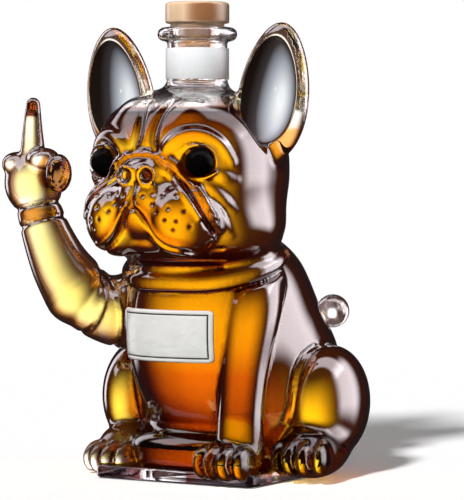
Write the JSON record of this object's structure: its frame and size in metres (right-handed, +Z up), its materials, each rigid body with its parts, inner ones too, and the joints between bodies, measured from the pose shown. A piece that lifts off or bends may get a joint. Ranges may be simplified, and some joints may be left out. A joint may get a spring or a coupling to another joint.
{
  "type": "whisky bottle",
  "caption": "Figural glass whisky bottle in the shape of a sitting bulldog with a raised foreleg, on a flat glass base, closed by a wood-capped cork stopper.",
  "frame": {"origin": "middle of the base plate's underside", "axes": "+Z up, the dog looks along -Y, +X is the dog's left side"},
  "size_m": [0.1722, 0.1373, 0.2263],
  "materials": {
    "clear_glass": "fire-polished clear glass",
    "black_glass": "polished opaque black glass",
    "cap_wood": "turned and lightly oiled",
    "cork": "natural cork, sanded",
    "band_paper": "smooth white paper",
    "label_metal": "silvered sheet metal with an inked border",
    "whisky": "clear amber liquid"
  },
  "bodies": {
    "bottle": {"head_shell": "clear_glass", "torso_shell": "clear_glass", "neck_tube": "clear_glass", "left_ear": "clear_glass", "right_ear": "clear_glass", "raised_arm": "clear_glass", "raised_paw": "clear_glass", "left_foreleg": "clear_glass", "left_haunch": "clear_glass", "right_haunch": "clear_glass", "left_fore_paw": "clear_glass", "left_hind_paw": "clear_glass", "right_hind_paw": "clear_glass", "tail_knob": "clear_glass", "base_plate": "clear_glass", "left_eye": "black_glass", "right_eye": "black_glass", "neck_band": "band_paper", "label_plate": "label_metal", "whisky_fill": "whisky"},
    "stopper": {"stopper_cap": "cap_wood", "stopper_cork": "cork"}
  },
  "joints": [
    {"name": "stopper_pull", "type": "slide", "parent": "bottle", "child": "stopper", "axis": [0, 0, 1], "range_m": [0, 0.04]}
  ]
}
